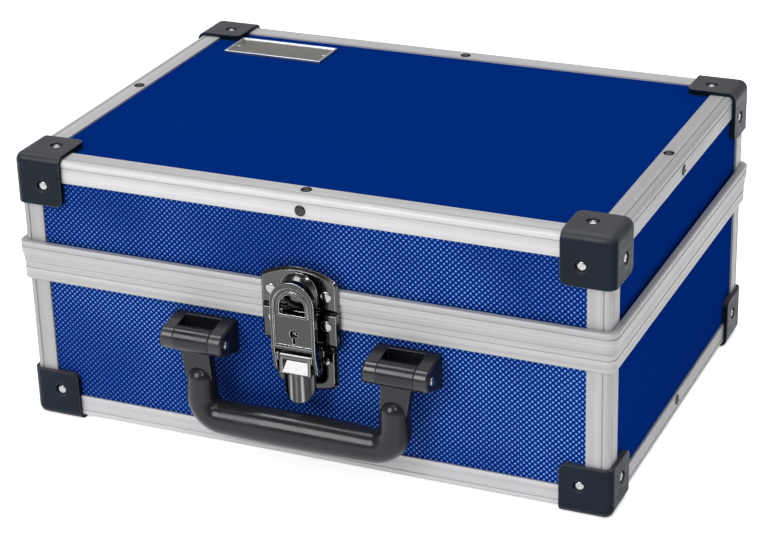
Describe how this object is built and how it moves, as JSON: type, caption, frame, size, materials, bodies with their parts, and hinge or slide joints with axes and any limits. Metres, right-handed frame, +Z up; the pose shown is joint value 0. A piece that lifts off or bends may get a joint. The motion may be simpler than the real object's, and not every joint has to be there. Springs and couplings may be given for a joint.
{
  "type": "tool case",
  "caption": "Rectangular tool case with aluminium edge rails, blue faced boards, black corner protectors, hinged lid, swing handle and a lockable draw latch.",
  "frame": {"origin": "middle of the floor area covered by the closed case, with the handle hanging", "axes": "+X to the right along the width, -Y towards the side with the latch and the handle, +Z up"},
  "size_m": [0.3372, 0.2678, 0.1554],
  "materials": {
    "faced_board": "satin plastic facing",
    "edge_aluminium": "satin anodised",
    "black_plastic": "fine grained",
    "handle_plastic": "soft sheen",
    "foam_lining": "thin foam",
    "plate_metal": "bare, finely brushed",
    "rivet_steel": "bright",
    "plated_steel": "bright plated"
  },
  "bodies": {
    "base": {"base_bottom_panel": "faced_board", "base_front_panel": "faced_board", "base_back_panel": "faced_board", "base_left_panel": "faced_board", "base_right_panel": "faced_board", "base_rail_front": "edge_aluminium", "base_rail_back": "edge_aluminium", "base_rail_left": "edge_aluminium", "base_rail_right": "edge_aluminium", "base_post_front_left": "edge_aluminium", "base_post_front_right": "edge_aluminium", "base_post_back_left": "edge_aluminium", "base_post_back_right": "edge_aluminium", "base_protector_front_left": "black_plastic", "base_protector_front_right": "black_plastic", "base_protector_back_left": "black_plastic", "base_protector_back_right": "black_plastic", "base_closing_band": "edge_aluminium", "base_case_rivets": "rivet_steel", "base_lining": "foam_lining", "hinge_base_leaves": "plated_steel", "hinge_pins": "plated_steel", "latch_base_plate": "plated_steel", "latch_lever_pin": "plated_steel", "base_fitting_rivets": "rivet_steel", "handle_bracket_left": "black_plastic", "handle_bracket_right": "black_plastic", "handle_pins": "rivet_steel", "bracket_screws": "rivet_steel"},
    "lid": {"lid_top_panel": "faced_board", "lid_front_panel": "faced_board", "lid_back_panel": "faced_board", "lid_left_panel": "faced_board", "lid_right_panel": "faced_board", "lid_rail_front": "edge_aluminium", "lid_rail_back": "edge_aluminium", "lid_rail_left": "edge_aluminium", "lid_rail_right": "edge_aluminium", "lid_post_front_left": "edge_aluminium", "lid_post_front_right": "edge_aluminium", "lid_post_back_left": "edge_aluminium", "lid_post_back_right": "edge_aluminium", "lid_protector_front_left": "black_plastic", "lid_protector_front_right": "black_plastic", "lid_protector_back_left": "black_plastic", "lid_protector_back_right": "black_plastic", "lid_closing_band": "edge_aluminium", "lid_case_rivets": "rivet_steel", "lid_lining": "foam_lining", "hinge_lid_leaves": "plated_steel", "latch_keeper_plate": "plated_steel", "lid_fitting_rivets": "rivet_steel", "nameplate": "plate_metal", "nameplate_rivets": "rivet_steel"},
    "handle": {"carry_handle": "handle_plastic"},
    "latch_lever": {"latch_lever": "plated_steel"},
    "latch_loop": {"latch_loop": "plated_steel", "latch_loop_pin": "plated_steel", "lock_case": "plated_steel"},
    "lock_cam": {"lock_cam": "plated_steel"}
  },
  "joints": [
    {"name": "lid_hinge", "type": "hinge", "parent": "base", "child": "lid", "pos_m": [0, 0.13095, 0.0932], "axis": [-1, 0, 0], "range_deg": [0, 100]},
    {"name": "handle_swing", "type": "hinge", "parent": "base", "child": "handle", "pos_m": [0, -0.12405, 0.0687], "axis": [-1, 0, 0], "range_deg": [0, 100]},
    {"name": "latch_lever_hinge", "type": "hinge", "parent": "base", "child": "latch_lever", "pos_m": [0, -0.12215, 0.0682], "axis": [-1, 0, 0], "range_deg": [0, 100]},
    {"name": "latch_loop_hinge", "type": "hinge", "parent": "latch_lever", "child": "latch_loop", "pos_m": [0, -0.12015, 0.0612], "axis": [-1, 0, 0], "range_deg": [-120, 0]},
    {"name": "lock_turn", "type": "hinge", "parent": "latch_loop", "child": "lock_cam", "pos_m": [0, -0.12065, 0.0818], "axis": [0, -1, 0], "range_deg": [0, 90]}
  ],
  "couplings": [
    {"joint": "latch_loop_hinge", "follows": "latch_lever_hinge", "ratio": -1.2}
  ]
}
